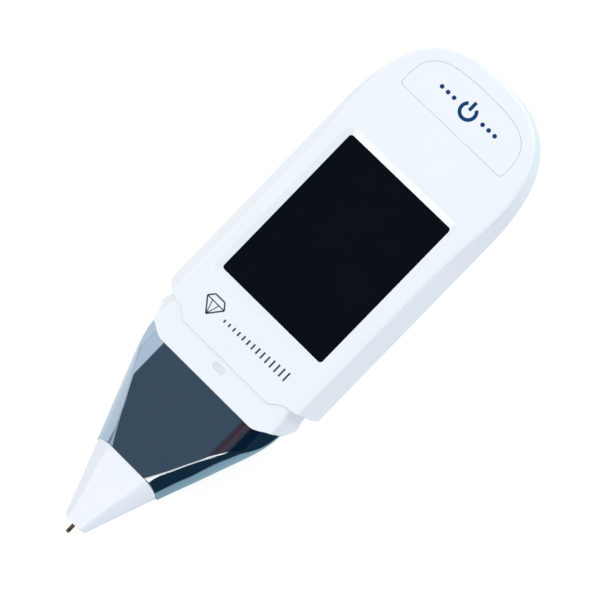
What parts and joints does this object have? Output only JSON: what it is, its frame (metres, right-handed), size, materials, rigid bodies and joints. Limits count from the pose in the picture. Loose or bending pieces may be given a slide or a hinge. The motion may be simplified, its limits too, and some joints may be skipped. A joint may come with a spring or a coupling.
{
  "type": "handheld gemstone tester",
  "caption": "Pen-shaped handheld gemstone tester with a sprung heated probe, mirror-plated finger grip, flat display and a power key at the tail.",
  "frame": {"origin": "on the flat back face, half way along the device and on its centre line", "axes": "+Y along the device from probe to charging end, +Z out of the display, +X across to the device's right"},
  "size_m": [0.056, 0.1693, 0.022],
  "materials": {
    "shell_white": "satin-gloss moulded ABS, white",
    "tip_white": "satin moulded heat-resistant plastic, white",
    "plated_nose": "mirror plating, dark blue-grey",
    "lens_black": "polished, black printed back",
    "window_clear": "translucent, polished",
    "probe_copper": "turned copper alloy, slightly worn",
    "brass_turned": "turned",
    "winding": "enamelled wire",
    "bush_white": "slippery fluoropolymer",
    "carrier_plastic": "moulded nylon",
    "steel": "bright",
    "spring_steel": "drawn wire",
    "rubber_black": "matt",
    "foam_black": "closed-cell foam",
    "board_green": "solder mask",
    "part_black": "moulded",
    "panel_dark": "polished",
    "frame_pale": "moulded",
    "flex_amber": "polyimide film",
    "cell_silver": "laminate pouch",
    "lead_red": "PVC",
    "lead_black": "PVC",
    "lead_yellow": "PVC",
    "lead_blue": "PVC",
    "bead": "glass-sealed",
    "lamp": "diffused",
    "plate_grey": "blank, matt",
    "leaf_bronze": "rolled strip"
  },
  "bodies": {
    "housing": {"front_cover": "shell_white", "rear_cover": "shell_white", "nose_collar": "shell_white", "indicator_window": "window_clear", "chrome_nose": "plated_nose", "tip_cone": "tip_white", "tip_seal": "rubber_black", "guide_bush": "bush_white", "probe_spring": "spring_steel", "spring_retainer": "carrier_plastic", "nose_carrier": "carrier_plastic", "carrier_screw_1": "steel", "carrier_screw_2": "steel", "display_lens": "lens_black", "lens_gasket": "rubber_black", "lcd_panel": "panel_dark", "lcd_frame": "frame_pale", "display_flex": "flex_amber", "main_board": "board_green", "processor": "part_black", "shield_can": "steel", "display_socket": "frame_pale", "buzzer": "part_black", "battery_socket": "frame_pale", "probe_socket": "frame_pale", "indicator_lamp": "lamp", "board_screw_1": "steel", "board_screw_2": "steel", "tail_board": "board_green", "tail_flex": "flex_amber", "charge_socket": "steel", "key_switch": "part_black", "battery_cell": "cell_silver", "battery_pad": "foam_black", "battery_lead_red": "lead_red", "battery_lead_black": "lead_black", "probe_lead_heater": "lead_yellow", "probe_lead_sensor": "lead_blue", "grip_contact": "leaf_bronze", "case_screw_1": "steel", "case_screw_2": "steel", "case_screw_3": "steel", "case_screw_4": "steel", "rating_plate": "plate_grey"},
    "probe": {"probe_pin": "probe_copper", "probe_holder": "brass_turned", "heater_winding": "winding", "thermistor": "bead"},
    "key": {"power_key": "shell_white", "switch_plunger": "part_black"}
  },
  "joints": [
    {"name": "probe_slide", "type": "slide", "parent": "housing", "child": "probe", "axis": [0, 1, 0], "range_m": [0, 0.0015], "stiffness_N_per_m": 400, "springref_m": -0.0008, "deforming": ["probe_spring"]},
    {"name": "key_press", "type": "slide", "parent": "housing", "child": "key", "axis": [0, 0, -1], "range_m": [0, 0.0006], "stiffness_N_per_m": 2500, "springref_m": -0.0001}
  ]
}
